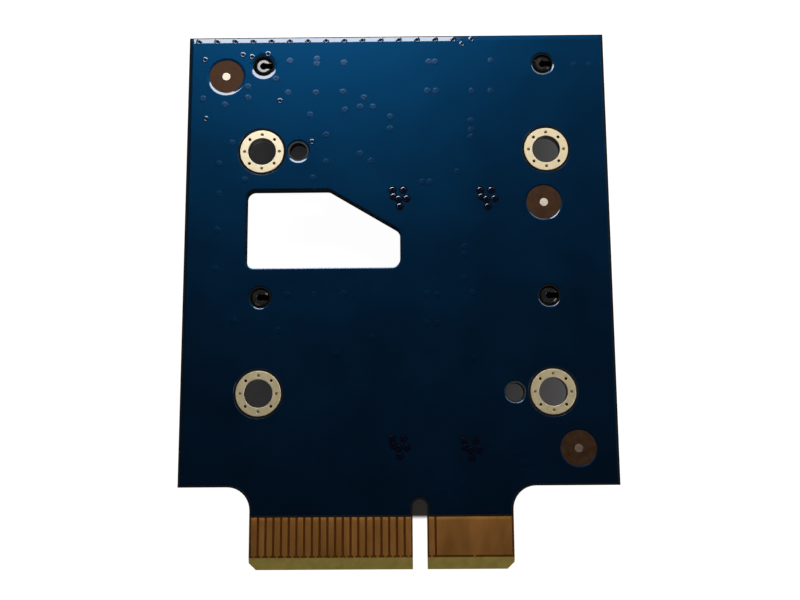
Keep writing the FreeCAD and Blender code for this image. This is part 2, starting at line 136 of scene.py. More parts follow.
def set_inputs(node, **values):
    for key, value in values.items():
        node.inputs[key.replace("_", " ")].default_value = value


def place_coordinates(tree, stretch=(1, 1, 1)):
    """Coordinates of the model's frame in metres, stretched along its axes."""
    source = add_node(tree, "ShaderNodeTexCoord").outputs["Object"]
    if stretch == (1, 1, 1):
        return source
    mapping = add_node(tree, "ShaderNodeMapping")
    mapping.inputs["Scale"].default_value = stretch
    tree.links.new(source, mapping.inputs["Vector"])
    return mapping.outputs["Vector"]


def split(tree, vector):
    """A node with the X, Y and Z of a vector as its outputs."""
    node = add_node(tree, "ShaderNodeSeparateXYZ")
    tree.links.new(vector, node.inputs["Vector"])
    return node


def noise(tree, coordinates, size, detail=3.0):
    """Noise whose grains are about a size in millimetres."""
    node = add_node(tree, "ShaderNodeTexNoise")
    set_inputs(node, Scale=1 / (size * MM), Detail=detail, Roughness=NOISE_ROUGHNESS)
    tree.links.new(coordinates, node.inputs["Vector"])
    return node.outputs["Fac"]


def ramp(tree, factor, stops):
    """Colours by a factor, through stops of (position, colour)."""
    node = add_node(tree, "ShaderNodeValToRGB")
    elements = node.color_ramp.elements
    while len(elements) < len(stops):
        elements.new(0.5)
    for element, (position, colour) in zip(elements, stops):
        element.position = position
        element.color = (*colour, 1)
    tree.links.new(factor, node.inputs["Fac"])
    return node.outputs["Color"]


def mottled(tree, factor, dark, light):
    """Map the middle of a noise to colours from dark to light."""
    return ramp(tree, factor, [(NOISE_LOW, dark), (NOISE_HIGH, light)])


def spread(tree, factor, low, high):
    """Map the middle of a noise to a range of values."""
    node = add_node(tree, "ShaderNodeMapRange")
    set_inputs(node, From_Min=NOISE_LOW, From_Max=NOISE_HIGH, To_Min=low, To_Max=high)
    tree.links.new(factor, node.inputs["Value"])
    return node.outputs["Result"]


def bump(tree, height, depth, edge=0.0):
    """Surface relief of a depth in millimetres, on edges rounded to a radius."""
    node = add_node(tree, "ShaderNodeBump")
    set_inputs(node, Strength=1.0, Distance=depth * MM)
    tree.links.new(height, node.inputs["Height"])
    if edge:
        rounding = add_node(tree, "ShaderNodeBevel", samples=EDGE_SAMPLES)
        set_inputs(rounding, Radius=edge * MM)
        tree.links.new(rounding.outputs["Normal"], node.inputs["Normal"])
    return node.outputs["Normal"]


def joined(tree, operation, *values, clamp=False):
    """One step of arithmetic on sockets and numbers."""
    node = add_node(tree, "ShaderNodeMath", operation=operation, use_clamp=clamp)
    for index, value in enumerate(values):
        if isinstance(value, (int, float)):
            node.inputs[index].default_value = value
        else:
            tree.links.new(value, node.inputs[index])
    return node.outputs["Value"]


def mixed(tree, factor, first, second):
    """The first colour where a factor is nothing and the second where it is one, from sockets or values."""
    node = add_node(tree, "ShaderNodeMix", data_type="RGBA")
    tree.links.new(factor, node.inputs["Factor"])
    for index, colour in ((MIX_FIRST, first), (MIX_SECOND, second)):
        if isinstance(colour, tuple):
            node.inputs[index].default_value = (*colour, 1)
        else:
            tree.links.new(colour, node.inputs[index])
    return node.outputs[MIX_RESULT]


def grained(name, dark, light, grain, rough, relief, relief_grain, stretch=(1, 1, 1), edge=0.0, **values):
    """A material with a mottled colour, a range of roughness and a fine relief. Grains, the relief and
    the radius of its edges are in millimetres."""
    material, tree, shader = new_material(name)
    coordinates = place_coordinates(tree, stretch)
    mottle = noise(tree, coordinates, grain)
    fine = noise(tree, coordinates, relief_grain, detail=2.0)
    tree.links.new(mottled(tree, mottle, dark, light), shader.inputs["Base Color"])
    tree.links.new(spread(tree, mottle, *rough), shader.inputs["Roughness"])
    tree.links.new(bump(tree, fine, relief, edge), shader.inputs["Normal"])
    set_inputs(shader, **values)
    return material


INK_DARK, INK_LIGHT = (0.0003, 0.0195, 0.056), (0.0006, 0.0235, 0.066)
INK_EDGE = (0.10, 0.25, 0.55, 1)
mask_ink = grained(
    "mask_ink", INK_DARK, INK_LIGHT, grain=9.0, rough=(0.32, 0.36), relief=0.004, relief_grain=0.5,
    Metallic=0.92, Specular_Tint=INK_EDGE, Coat_Weight=1.0, Coat_Roughness=0.03,
)
via_ink = grained(
    "via_ink", INK_DARK, INK_LIGHT, grain=9.0, rough=(0.32, 0.36), relief=0.002, relief_grain=0.3,
    Metallic=0.92, Specular_Tint=INK_EDGE, Coat_Weight=0.24, Coat_Roughness=0.2,
)
# Near-black ink of the land via plugs, used as well as painted shade in the open vias' middles and the margins
# along the edge and round the pegs
plug_ink_and_shade = grained(
    "plug_ink_and_shade", (0.002, 0.002, 0.002), (0.006, 0.005, 0.004),
    grain=0.2, rough=(0.6, 0.8), relief=0.004, relief_grain=0.1, Specular_IOR_Level=0.15,
)
# Dark navy ink of the rings round the switch vias and of their middles
dark_navy_ink = grained(
    "dark_navy_ink", (0.0001, 0.0008, 0.007), (0.0003, 0.0016, 0.012),
    grain=0.2, rough=(0.5, 0.6), relief=0.004, relief_grain=0.1, Specular_IOR_Level=0.04,
)
plug_bronze = grained(
    "plug_bronze", (0.10, 0.07, 0.035), (0.16, 0.11, 0.06),
    grain=0.2, rough=(0.5, 0.7), relief=0.004, relief_grain=0.1,
)
bare_resin = grained(
    "bare_resin", (0.006, 0.0085, 0.0095), (0.010, 0.013, 0.014),
    grain=0.5, rough=(0.45, 0.6), relief=0.004, relief_grain=0.15,
)
fiducial_resin = grained(
    "fiducial_resin", (0.043, 0.0190, 0.0080), (0.066, 0.0295, 0.0125),
    grain=0.7, rough=(0.42, 0.5), relief=0.003, relief_grain=0.2, Metallic=0.55, Specular_IOR_Level=0.2,
)
land_gold = grained(
    "land_gold", (0.75, 0.610, 0.340), (0.84, 0.700, 0.410),
    grain=0.5, rough=(0.47, 0.54), relief=0.002, relief_grain=0.12,
    Metallic=1.0, Coat_Weight=1.0, Coat_Roughness=0.28, Coat_IOR=3.0,
)
dot_copper = grained(
    "dot_copper", (0.63, 0.53, 0.44), (0.76, 0.65, 0.55),
    grain=0.4, rough=(0.42, 0.5), relief=0.002, relief_grain=0.12, Metallic=1.0,
)
# A darker copy of the dot copper, as painted shade on the lowest dot
shaded_dot_copper = grained(
    "shaded_dot_copper", (0.25, 0.178, 0.138), (0.33, 0.244, 0.190),
    grain=0.4, rough=(0.42, 0.5), relief=0.002, relief_grain=0.12, Metallic=1.0,
)
# Plating of the screw holes, painted dark as the shade inside the holes
shaded_hole_plating = grained(
    "shaded_hole_plating", (0.014, 0.011, 0.008), (0.026, 0.020, 0.014),
    grain=0.4, rough=(0.5, 0.65), relief=0.004, relief_grain=0.15, Metallic=0.6,
)
finger_gold = grained(
    "finger_gold", (0.87, 0.375, 0.092), (0.97, 0.435, 0.118),
    grain=1.6, rough=(0.32, 0.36), relief=0.001, relief_grain=0.08, stretch=(1, 0.3, 1), Metallic=1.0,
)
contact_gold = grained(
    "contact_gold", (0.72, 0.50, 0.20), (0.85, 0.63, 0.29),
    grain=0.5, rough=(0.22, 0.34), relief=0.001, relief_grain=0.06, Metallic=1.0,
)
via_tin = grained(
    "via_tin", (0.060, 0.077, 0.110), (0.090, 0.112, 0.150),
    grain=0.2, rough=(0.14, 0.2), relief=0.001, relief_grain=0.1, Metallic=1.0,
)
tin_plate = grained(
    "tin_plate", (0.50, 0.50, 0.49), (0.66, 0.66, 0.64),
    grain=0.3, rough=(0.32, 0.48), relief=0.002, relief_grain=0.08, edge=0.05, Metallic=1.0,
)
solder = grained(
    "solder", (0.56, 0.56, 0.56), (0.70, 0.70, 0.69),
    grain=0.25, rough=(0.18, 0.32), relief=0.003, relief_grain=0.15, Metallic=1.0,
)
black_plastic = grained(
    "black_plastic", (0.012, 0.012, 0.013), (0.022, 0.022, 0.023),
    grain=1.2, rough=(0.34, 0.46), relief=0.006, relief_grain=0.09, edge=0.12,
)
peg_plastic = grained(
    "peg_plastic", (0.010, 0.010, 0.011), (0.018, 0.018, 0.019),
    grain=0.6, rough=(0.12, 0.18), relief=0.001, relief_grain=0.1,
)
package_epoxy = grained(
    "package_epoxy", (0.016, 0.016, 0.017), (0.032, 0.032, 0.033),
    grain=0.25, rough=(0.55, 0.7), relief=0.008, relief_grain=0.06, edge=0.08,
)
capacitor_ceramic = grained(
    "capacitor_ceramic", (0.30, 0.20, 0.12), (0.42, 0.30, 0.19),
    grain=0.3, rough=(0.4, 0.55), relief=0.004, relief_grain=0.08, edge=0.06,
)
resistor_glaze = grained(
    "resistor_glaze", (0.012, 0.012, 0.014), (0.03, 0.03, 0.033),
    grain=0.3, rough=(0.2, 0.35), relief=0.003, relief_grain=0.1,
)


def inside_box(tree, plan, low, high, soft):
    """One within a box, seen from above, and nothing outside it, with a soft border, in millimetres."""
    reaches = []
    for axis, start, end in zip("XY", low, high):
        offset = joined(tree, "SUBTRACT", plan.outputs[axis], (start + end) / 2 * MM)
        reaches.append(joined(tree, "SUBTRACT", joined(tree, "ABSOLUTE", offset), (end - start) / 2 * MM))
    farther = joined(tree, "MAXIMUM", *reaches)
    fade = add_node(tree, "ShaderNodeMapRange", interpolation_type="SMOOTHSTEP")
    set_inputs(fade, From_Min=-soft * MM, From_Max=soft * MM, To_Min=1.0, To_Max=0.0)
    tree.links.new(farther, fade.inputs["Value"])
    return fade.outputs["Result"]


WEAVE_SIZE, WEAVE_RELIEF = 3.2, 0.002
RESIN_GRAIN, RESIN_ROUGH = 1.1, (0.5, 0.62)
WALL_SOFT = 0.1
# Upright share of a surface's normal above which it counts as a bevel, and as a level face
BEVEL_LEVEL, FACE_LEVEL = 0.02, 0.99


def make_laminate():
    """Woven glass in resin: brown on the board's faces, olive on its bevels and outer walls, and painted
    near black with shade on the walls of its window and holes."""
    material, tree, shader = new_material("laminate")
    coordinates = place_coordinates(tree)
    weave = add_node(tree, "ShaderNodeTexWave", wave_type="BANDS", bands_direction="X")
    set_inputs(weave, Scale=1 / (WEAVE_SIZE * MM), Distortion=1.5, Detail=2.0)
    tree.links.new(coordinates, weave.inputs["Vector"])
    cloud = noise(tree, coordinates, RESIN_GRAIN)
    face = mottled(tree, cloud, (0.062, 0.019, 0.003), (0.082, 0.028, 0.006))
    bevel = mottled(tree, cloud, (0.22, 0.168, 0.040), (0.28, 0.215, 0.056))
    outer = mottled(tree, cloud, (0.085, 0.068, 0.022), (0.120, 0.095, 0.032))
    # The walls inside the card, of its window and holes, get a near-black colour as painted shade
    inner = mottled(tree, cloud, (0.008, 0.007, 0.006), (0.014, 0.012, 0.009))
    within = inside_box(
        tree, split(tree, coordinates), (board_low.x + WALL_DEPTH, shoulder_y + WALL_DEPTH),
        (board_high.x - WALL_DEPTH, board_high.y - WALL_DEPTH), WALL_SOFT,
    )
    normal = split(tree, add_node(tree, "ShaderNodeNewGeometry").outputs["True Normal"])
    level = joined(tree, "ABSOLUTE", normal.outputs["Z"])
    colour = mixed(tree, within, outer, inner)
    for limit, layer in ((BEVEL_LEVEL, bevel), (FACE_LEVEL, face)):
        colour = mixed(tree, joined(tree, "GREATER_THAN", level, limit), colour, layer)
    tree.links.new(colour, shader.inputs["Base Color"])
    tree.links.new(spread(tree, cloud, *RESIN_ROUGH), shader.inputs["Roughness"])
    tree.links.new(bump(tree, weave.outputs["Fac"], WEAVE_RELIEF), shader.inputs["Normal"])
    set_inputs(shader, Specular_IOR_Level=0.0)
    return material


laminate = make_laminate()

# Meshes. A sheet's rim has rows of points at shares of its width, rises in a power curve and ends in a
# narrow flat strip. A side is long from so many times the reach of the turns at its ends.
ROUND_SEGMENTS = 64
NEARLY_STRAIGHT = math.cos(math.radians(10))
FILL_INSIDE, FILL_TOLERANCE = 1, 1e-6
RIM_POWER = 1.4
RIM_SHARES = (0.0, 0.08, 0.17, 0.27, 0.38, 0.5, 0.64, 0.8, 0.92, 1.0)
RIM_FLAT = 0.02
SAME_HEIGHT = 1e-3
OUTLINE_DIGITS = 4
LONG_SIDE = 4
MARGIN_HEIGHT = 0.003


def new_piece(name, bm, material, sharp=30):
    """Turn a mesh in millimetres into a piece of the card."""
    bmesh.ops.recalc_face_normals(bm, faces=bm.faces)
    bm.transform(Matrix.Scale(MM, 4))
    mesh = bpy.data.meshes.new(name)
    bm.to_mesh(mesh)
    bm.free()
    mesh.shade_smooth()
    mesh.set_sharp_from_angle(angle=math.radians(sharp))
    mesh.materials.append(material)
    piece = bpy.data.objects.new(name, mesh)
    scene.collection.objects.link(piece)
    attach(piece, "root")
    return piece


def circle(centre, radius, hole=False, segments=ROUND_SEGMENTS):
    """A ring of points, against the clock, or with the clock round a hole."""
    turns = [2 * math.pi * step / segments for step in range(segments)]
    if hole:
        turns.reverse()
    return [Vector((centre[0] + radius * math.cos(a), centre[1] + radius * math.sin(a))) for a in turns]


def plan_box(points):
    """Left, low, right and high limits of points, seen from above."""
    xs, ys = [point[0] for point in points], [point[1] for point in points]
    return min(xs), min(ys), max(xs), max(ys)


def inset(ring, distances):
    """The ring moved to its left, which is into the sheet that it bounds, by a distance for each side."""
    moved = []
    for index, point in enumerate(ring):
        before = (point - ring[index - 1]).normalized()
        after = (ring[(index + 1) % len(ring)] - point).normalized()
        left, right = Vector((-before.y, before.x)), Vector((-after.y, after.x))
        first, second = distances[index - 1], distances[index]
        along = left.dot(right)
        if along > NEARLY_STRAIGHT:
            moved.append(point + (left + right) * ((first + second) / 4))
        else:
            apart = 1 - along * along
            by_first, by_second = (first - second * along) / apart, (second - first * along) / apart
            moved.append(point + left * by_first + right * by_second)
    return moved


def encloses(ring, spot):
    """True where a ring of points goes round a spot."""
    odd = False
    for index, point in enumerate(ring):
        before = ring[index - 1]
        if (before.y > spot.y) != (point.y > spot.y):
            share = (spot.y - before.y) / (point.y - before.y)
            odd ^= spot.x < before.x + (point.x - before.x) * share
    return odd


def fill(bm, rings):
    """Fill the area between rings of mesh vertices with triangles, leaving the holes open."""
    plans = [[vertex.co.xy for vertex in ring] for ring in rings]
    corners = [vertex for ring in rings for vertex in ring]
    flat = [point for plan in plans for point in plan]
    edges = []
    start = 0
    for ring in rings:
        edges += [(start + step, start + (step + 1) % len(ring)) for step in range(len(ring))]
        start += len(ring)
    faces, origins = delaunay_2d_cdt(flat, edges, [], FILL_INSIDE, FILL_TOLERANCE)[2:4]
    for face in faces:
        spots = [origins[index][0] for index in face]
        middle = sum((flat[spot] for spot in spots), Vector((0, 0))) / len(spots)
        if sum(encloses(plan, middle) for plan in plans) % 2:
            bm.faces.new([corners[spot] for spot in spots])


def add_sheet(bm, rings, side, height, low):
    """A closed sheet on one face of the board. Each ring has a width, or a width for each of its sides,
    over which the sheet rises in a rounded rim from its low edge to its full height."""
    base = FACE_Z[side]
    levels = [(0.0, 0.0, 0.0)]
    for share in RIM_SHARES:
        levels.append((share, 0.0, low + (height - low) * (1 - (1 - share) ** RIM_POWER)))
    levels.append((1.0, RIM_FLAT, height))
    floor_rings, top_rings = [], []
    for ring, width in rings:
        widths = width if isinstance(width, list) else [width] * len(ring)
        rows = [
            [bm.verts.new((*point, base + side * level))
             for point in inset(ring, [share * wide + extra for wide in widths])]
            for share, extra, level in levels
        ]
        count = len(ring)
        for lower, upper in zip(rows, rows[1:]):
            for step in range(count):
                following = (step + 1) % count
                bm.faces.new((lower[step], lower[following], upper[following], upper[step]))
        floor_rings.append(rows[0])
        top_rings.append(rows[-1])
    fill(bm, floor_rings)
    fill(bm, top_rings)


def closed(profile):
    """The profile with its start added at its end, which turns into a ring."""
    return profile + profile[:1]


def add_turned(bm, centre, profile, segments):
    """Turn a profile of (radius, height) round an upright axis. A profile that returns to its start makes
    a ring; any other is closed at its ends, by a point where the radius is zero and else by a flat face."""
    ring_shaped = profile[0] == profile[-1]
    rows = []
    for radius, height in profile[:-1] if ring_shaped else profile:
        if radius == 0:
            rows.append([bm.verts.new((centre[0], centre[1], height))])
        else:
            ring = circle(centre, radius, segments=segments)
            rows.append([bm.verts.new((*point, height)) for point in ring])
    if ring_shaped:
        rows.append(rows[0])
    else:
        for row in (rows[0], rows[-1]):
            if len(row) > 1:
                bm.faces.new(row)
    for lower, upper in zip(rows, rows[1:]):
        for step in range(segments):
            following = (step + 1) % segments
            corners = [lower[step % len(lower)], lower[following % len(lower)],
                       upper[following % len(upper)], upper[step % len(upper)]]
            bm.faces.new(list(dict.fromkeys(corners)))


def add_flat_ring(bm, centre, inner, outer, side):
    """A thin flat ring on one face of the board."""
    base = FACE_Z[side]
    level = base + side * MARGIN_HEIGHT
    profile = [(inner, base), (outer, base), (outer, level), (inner, level)]
    add_turned(bm, centre, closed(profile), ROUND_SEGMENTS)


def flat_outline(name, height, side=REAR):
    """Rings that bound the level faces of a node at one height, with the face on their left."""
    mesh = nodes[name].data
    spots = [
        (round(v.co.x / MM, OUTLINE_DIGITS), round(v.co.y / MM, OUTLINE_DIGITS), v.co.z / MM)
        for v in mesh.vertices
    ]
    sides = set()
    for polygon in mesh.polygons:
        corners = [spots[index] for index in polygon.vertices][::side]
        at_height = all(abs(corner[2] - height) < SAME_HEIGHT for corner in corners)
        if at_height and polygon.normal.z * side > FACE_LEVEL:
            plan = [corner[:2] for corner in corners]
            sides.update(zip(plan, plan[1:] + plan[:1]))
    after = {start: end for start, end in sides if (end, start) not in sides}
    rings = []
    while after:
        start, point = after.popitem()
        ring = [start]
        while point != start:
            ring.append(point)
            point = after.pop(point)
        rings.append([Vector(corner) for corner in ring])
    return rings


def cut_below(ring, level):
    """The part of a ring above a level line."""
    kept = []
    for index, point in enumerate(ring):
        before = ring[index - 1]
        if (before.y < level) != (point.y < level):
            share = (level - before.y) / (point.y - before.y)
            kept.append(before.lerp(point, share))
        if point.y >= level:
            kept.append(point)
    return kept


def spare_points(ring, shortest=0.02):
    """The ring without points that crowd their neighbours."""
    return [point for index, point in enumerate(ring) if (point - ring[index - 1]).length > shortest]


def with_stops(ring, reach):
    """The ring with a point near each end of its long sides, where a rim's turn into the next side ends."""
    stopped = []
    for index, point in enumerate(ring):
        following = ring[(index + 1) % len(ring)]
        length = (following - point).length
        stopped.append(point)
        if length > LONG_SIDE * reach:
            stopped += [point.lerp(following, reach / length), following.lerp(point, reach / length)]
    return stopped


# Outline of the board, its window and its holes, and the round pieces of copper
PEG_HOLE, LOCATOR_HOLE = 1.3, 1.2
HOLE_NEAR, HOLE_LESS = 0.05, 0.1
LANDS = [f"mount_land_{row}_{column}" for row in ("upper", "lower") for column in ("left", "right")]
FIDUCIALS = [f"fiducial_dot_{number}" for number in (1, 2, 3)]


def radius_of(name):
    low, high = node_box(name)
    return (high.x - low.x) / 2


def ring_width(ring):
    left, _, right, _ = plan_box(ring)
    return right - left


def ring_middle(ring):
    left, low, right, high = plan_box(ring)
    return Vector(((right + left) / 2, (high + low) / 2))


land_radius, dot_radius = radius_of(LANDS[0]), radius_of(FIDUCIALS[0])
outline = flat_outline("circuit_board", board_high.z)
outline.sort(key=ring_width, reverse=True)
card_ring, window_ring, *hole_rings = outline
peg_spots = [ring_middle(ring) for ring in hole_rings if abs(ring_width(ring) - 2 * PEG_HOLE) < HOLE_NEAR]
locator_spots = [ring_middle(ring) for ring in hole_rings if ring_width(ring) < 2 * PEG_HOLE - HOLE_LESS]

# Solder mask: an ink sheet on each face, a little short of the card's edge and open round the bare
# copper and the holes. Its rims lie at the slopes that mirror the lamp as the photograph shows it.
MASK_HEIGHT, MASK_LOW = 0.037, 0.003
TOP_MARGIN, TOP_RIM, TOP_NEAR = 0.12, 0.62, 0.01
SIDE_MARGIN, SIDE_RIM = 0.27, 0.5
FOOT_RIM, FOOT_REACH = 0.15, 1.0
EDGE_STOP = 0.8
WINDOW_RIM, WINDOW_STOP = 0.25, 0.4
LAND_CLEARANCE, LAND_RIM = 0.30, 0.04
PEG_OPENING = 1.47
LOCATOR_OPENING = 1.42
FIDUCIAL_OPENING, FIDUCIAL_RIM = 2.36, 0.2
RIM_APART = 0.08
FINGER_TOP_GAP = 0.20
WINDOW_LAMP = Vector((-80.0, 370.0, 600.0))


def mirror_rim(spot):
    """Width of a rim whose slope mirrors the lamp to the camera."""
    here = Vector((*spot, board_high.z))
    halfway = (WINDOW_LAMP - here).normalized() + (camera_place - here).normalized()
    return (MASK_HEIGHT - MASK_LOW) * halfway.z / halfway.xy.length


finger_top = node_box("edge_contacts_rear")[1].y - FINGER_TOP_GAP
edge_ring = with_stops(spare_points(cut_below(card_ring, finger_top)), EDGE_STOP)
edge_margins, edge_rims = [], []
for step, point in enumerate(edge_ring):
    side_y = min(point.y, edge_ring[(step + 1) % len(edge_ring)].y)
    if side_y > board_high.y - TOP_NEAR:
        margin, rim = TOP_MARGIN, TOP_RIM
    elif side_y > shoulder_y + FOOT_REACH:
        margin, rim = SIDE_MARGIN, SIDE_RIM
    else:
        margin, rim = SIDE_MARGIN, FOOT_RIM
    edge_margins.append(margin)
    edge_rims.append(rim)
ink_ring = inset(edge_ring, edge_margins)
mask_rings = [(ink_ring, edge_rims), (with_stops(spare_points(window_ring), WINDOW_STOP), WINDOW_RIM)]
mask_rings += [(circle(middle_of(name), land_radius + LAND_CLEARANCE, hole=True), LAND_RIM) for name in LANDS]
mask_rings += [(circle(spot, PEG_OPENING, hole=True), mirror_rim(spot)) for spot in peg_spots]
kept_clear = land_radius + LAND_CLEARANCE + LAND_RIM + RIM_APART
for spot in locator_spots:
    opening = circle(spot, LOCATOR_OPENING, hole=True)
    rooms = [min((middle_of(name).xy - point).length for name in LANDS) - kept_clear for point in opening]
    mask_rings.append((opening, [min(room, mirror_rim(spot)) for room in rooms]))
fiducial_rings = [
    (circle(middle_of(name), FIDUCIAL_OPENING, hole=True), max(FIDUCIAL_RIM, mirror_rim(middle_of(name).xy)))
    for name in FIDUCIALS
]

MASKS = [("mask_rear", REAR, mask_rings + fiducial_rings), ("mask_front", FRONT, mask_rings)]
for name, side, rings in MASKS:
    sheet = bmesh.new()
    add_sheet(sheet, rings, side, MASK_HEIGHT, MASK_LOW)
    new_piece(name, sheet, mask_ink)

# Bare laminate in the openings: painted near black with shade along the edge and round the pegs, grey round
# the locating holes and brown round the copper dots
MARGIN_RIM = 0.01
DOT_GAP = 0.03
painted_shade_margins, grey_margins, fields = bmesh.new(), bmesh.new(), bmesh.new()
edge_strip = [(edge_ring, MARGIN_RIM), (ink_ring[::-1], MARGIN_RIM)]
for side in (REAR, FRONT):
    add_sheet(painted_shade_margins, edge_strip, side, MARGIN_HEIGHT, MARGIN_HEIGHT / 2)
    for spot in peg_spots:
        add_flat_ring(painted_shade_margins, spot, PEG_HOLE, PEG_OPENING, side)
    for spot in locator_spots:
        add_flat_ring(grey_margins, spot, LOCATOR_HOLE, LOCATOR_OPENING, side)
for name in FIDUCIALS:
    add_flat_ring(fields, middle_of(name).xy, dot_radius + DOT_GAP, FIDUCIAL_OPENING, REAR)
new_piece("painted_shade_margins", painted_shade_margins, plug_ink_and_shade)
new_piece("locator_margins", grey_margins, bare_resin)
new_piece("fiducial_fields", fields, fiducial_resin)

# Vias, as profiles of (radius, height over the mask): low ones under the mask with a dimple, taller ones with
# an open middle painted near black as shade, and tinned ones in a dark navy ring, in a cluster for each power
# switch
VIA_SEGMENTS = 20
VIA_PROFILE = [(0.56, -0.004), (0.48, 0.0), (0.40, 0.0045), (0.32, 0.0075), (0.22, 0.0085), (0.12, 0.0075),
               (0.05, 0.0065), (0.0, 0.0062)]
OPEN_VIA_PROFILE = [(0.46, -0.004), (0.40, 0.0), (0.31, 0.0115), (0.25, 0.0128), (0.18, 0.005),
                    (0.15, -0.004)]
OPEN_VIA_MIDDLE = [(0.18, -0.004), (0.16, 0.002), (0.08, 0.001), (0.0, 0.0005)]
SWITCH_VIA_PROFILE = [(0.46, -0.004), (0.42, 0.0), (0.40, 0.003), (0.38, 0.006), (0.36, 0.009),
                      (0.34, 0.0115), (0.28, 0.0125), (0.22, 0.009), (0.18, 0.003), (0.16, -0.004)]
SWITCH_VIA_MIDDLE = [(0.30, -0.004), (0.295, 0.0126), (0.15, 0.0127), (0.0, 0.0128)]
SWITCH_VIA_DARK_RING = [(0.40, -0.004), (0.57, -0.004), (0.57, 0.001), (0.40, 0.001)]

# Places of the vias in the photograph, in pixels
LOW_VIAS = [
    (276, 79), (290, 61), (317, 59), (317, 64), (344, 63), (248, 87), (248, 98), (203, 99), (225, 105),
    (288, 93), (316, 93), (343, 92), (364, 98), (373, 107), (360, 107), (345, 110), (390, 117), (390, 129),
    (310, 115), (326, 135), (360, 154), (371, 161), (326, 162), (313, 178), (232, 143), (219, 164), (219, 194),
    (245, 180), (491, 61), (429, 62), (435, 62), (427, 91), (436, 91), (472, 91), (491, 91), (471, 121),
    (471, 130), (471, 137), (574, 65), (589, 65), (457, 172), (422, 182), (430, 182), (217, 230), (215, 269),
    (287, 295), (314, 295), (344, 294), (277, 331), (234, 321), (372, 338), (336, 354), (427, 294), (437, 295),
    (427, 323), (438, 323), (473, 293), (465, 247), (465, 254), (464, 278), (462, 357), (474, 359), (384, 465),
    (429, 469), (462, 484), (444, 491), (455, 489), (490, 443), (516, 455), (525, 454), (525, 464), (534, 465),
    (534, 472), (543, 473),
]
OPEN_VIAS = [(205, 60), (243, 55), (252, 57), (268, 54), (280, 101), (206, 119), (312, 142), (462, 44)]
SWITCH_CLUSTERS = [(399, 198), (487, 198), (399, 447), (471, 449)]

# Steps of the vias from the middle of a cluster, and the row along the top edge, in millimetres
CLUSTER_PATTERN = [(-0.9, 1.1), (0.6, 1.1), (-0.75, 0.2), (-0.05, -0.15), (1.05, -0.1), (0.1, -1.2)]
STITCH_PITCH, STITCH_INSET, STITCH_START, STITCH_COUNT = 2.54, 0.55, -27.54, 16

stitch_y = board_high.y - STITCH_INSET
stitch_spots = [Vector((STITCH_START + STITCH_PITCH * step, stitch_y)) for step in range(STITCH_COUNT)]
open_spots = [on_board(pixel) for pixel in OPEN_VIAS] + stitch_spots
switch_spots = [on_board(pixel) + Vector(step) for pixel in SWITCH_CLUSTERS for step in CLUSTER_PATTERN]
via_spots = [on_board(pixel) for pixel in LOW_VIAS]

part_boxes = [node_box(name) for name in nodes if name != "circuit_board"]
part_boxes = [(low, high) for low, high in part_boxes if low.z < board_low.z - 2 * copper]


def under_parts(spot, margin=0.6):
    """True where a part on the board's front face covers a place."""
    return any(
        low.x - margin < spot.x < high.x + margin and low.y - margin < spot.y < high.y + margin
        for low, high in part_boxes
    )


VIA_KINDS = [
    ("mask_vias", via_spots, VIA_PROFILE, via_ink, "solder_mask"),
    ("open_vias", open_spots, closed(OPEN_VIA_PROFILE), mask_ink, "solder_mask"),
    ("switch_vias", switch_spots, closed(SWITCH_VIA_PROFILE), via_tin, "tin_plate"),
    ("via_reliefs", switch_spots, closed(SWITCH_VIA_DARK_RING), dark_navy_ink, "laminate"),
    ("switch_via_middles", switch_spots, SWITCH_VIA_MIDDLE, dark_navy_ink, "solder_mask"),
    ("via_middles", open_spots, OPEN_VIA_MIDDLE, plug_ink_and_shade, "solder_mask"),
]
for side, place in ((REAR, "rear"), (FRONT, "front")):
    surface = FACE_Z[side] + side * MASK_HEIGHT
    for name, spots, profile, material, slot in VIA_KINDS:
        bare_spots = [spot for spot in spots if side == REAR or not under_parts(spot)]
        if not bare_spots:
            continue
        vias = bmesh.new()
        standing = [(radius, surface + side * height) for radius, height in profile]
        for spot in bare_spots:
            add_turned(vias, spot, standing, VIA_SEGMENTS)
        new_piece(f"{name}_{place}", vias, material, sharp=60)

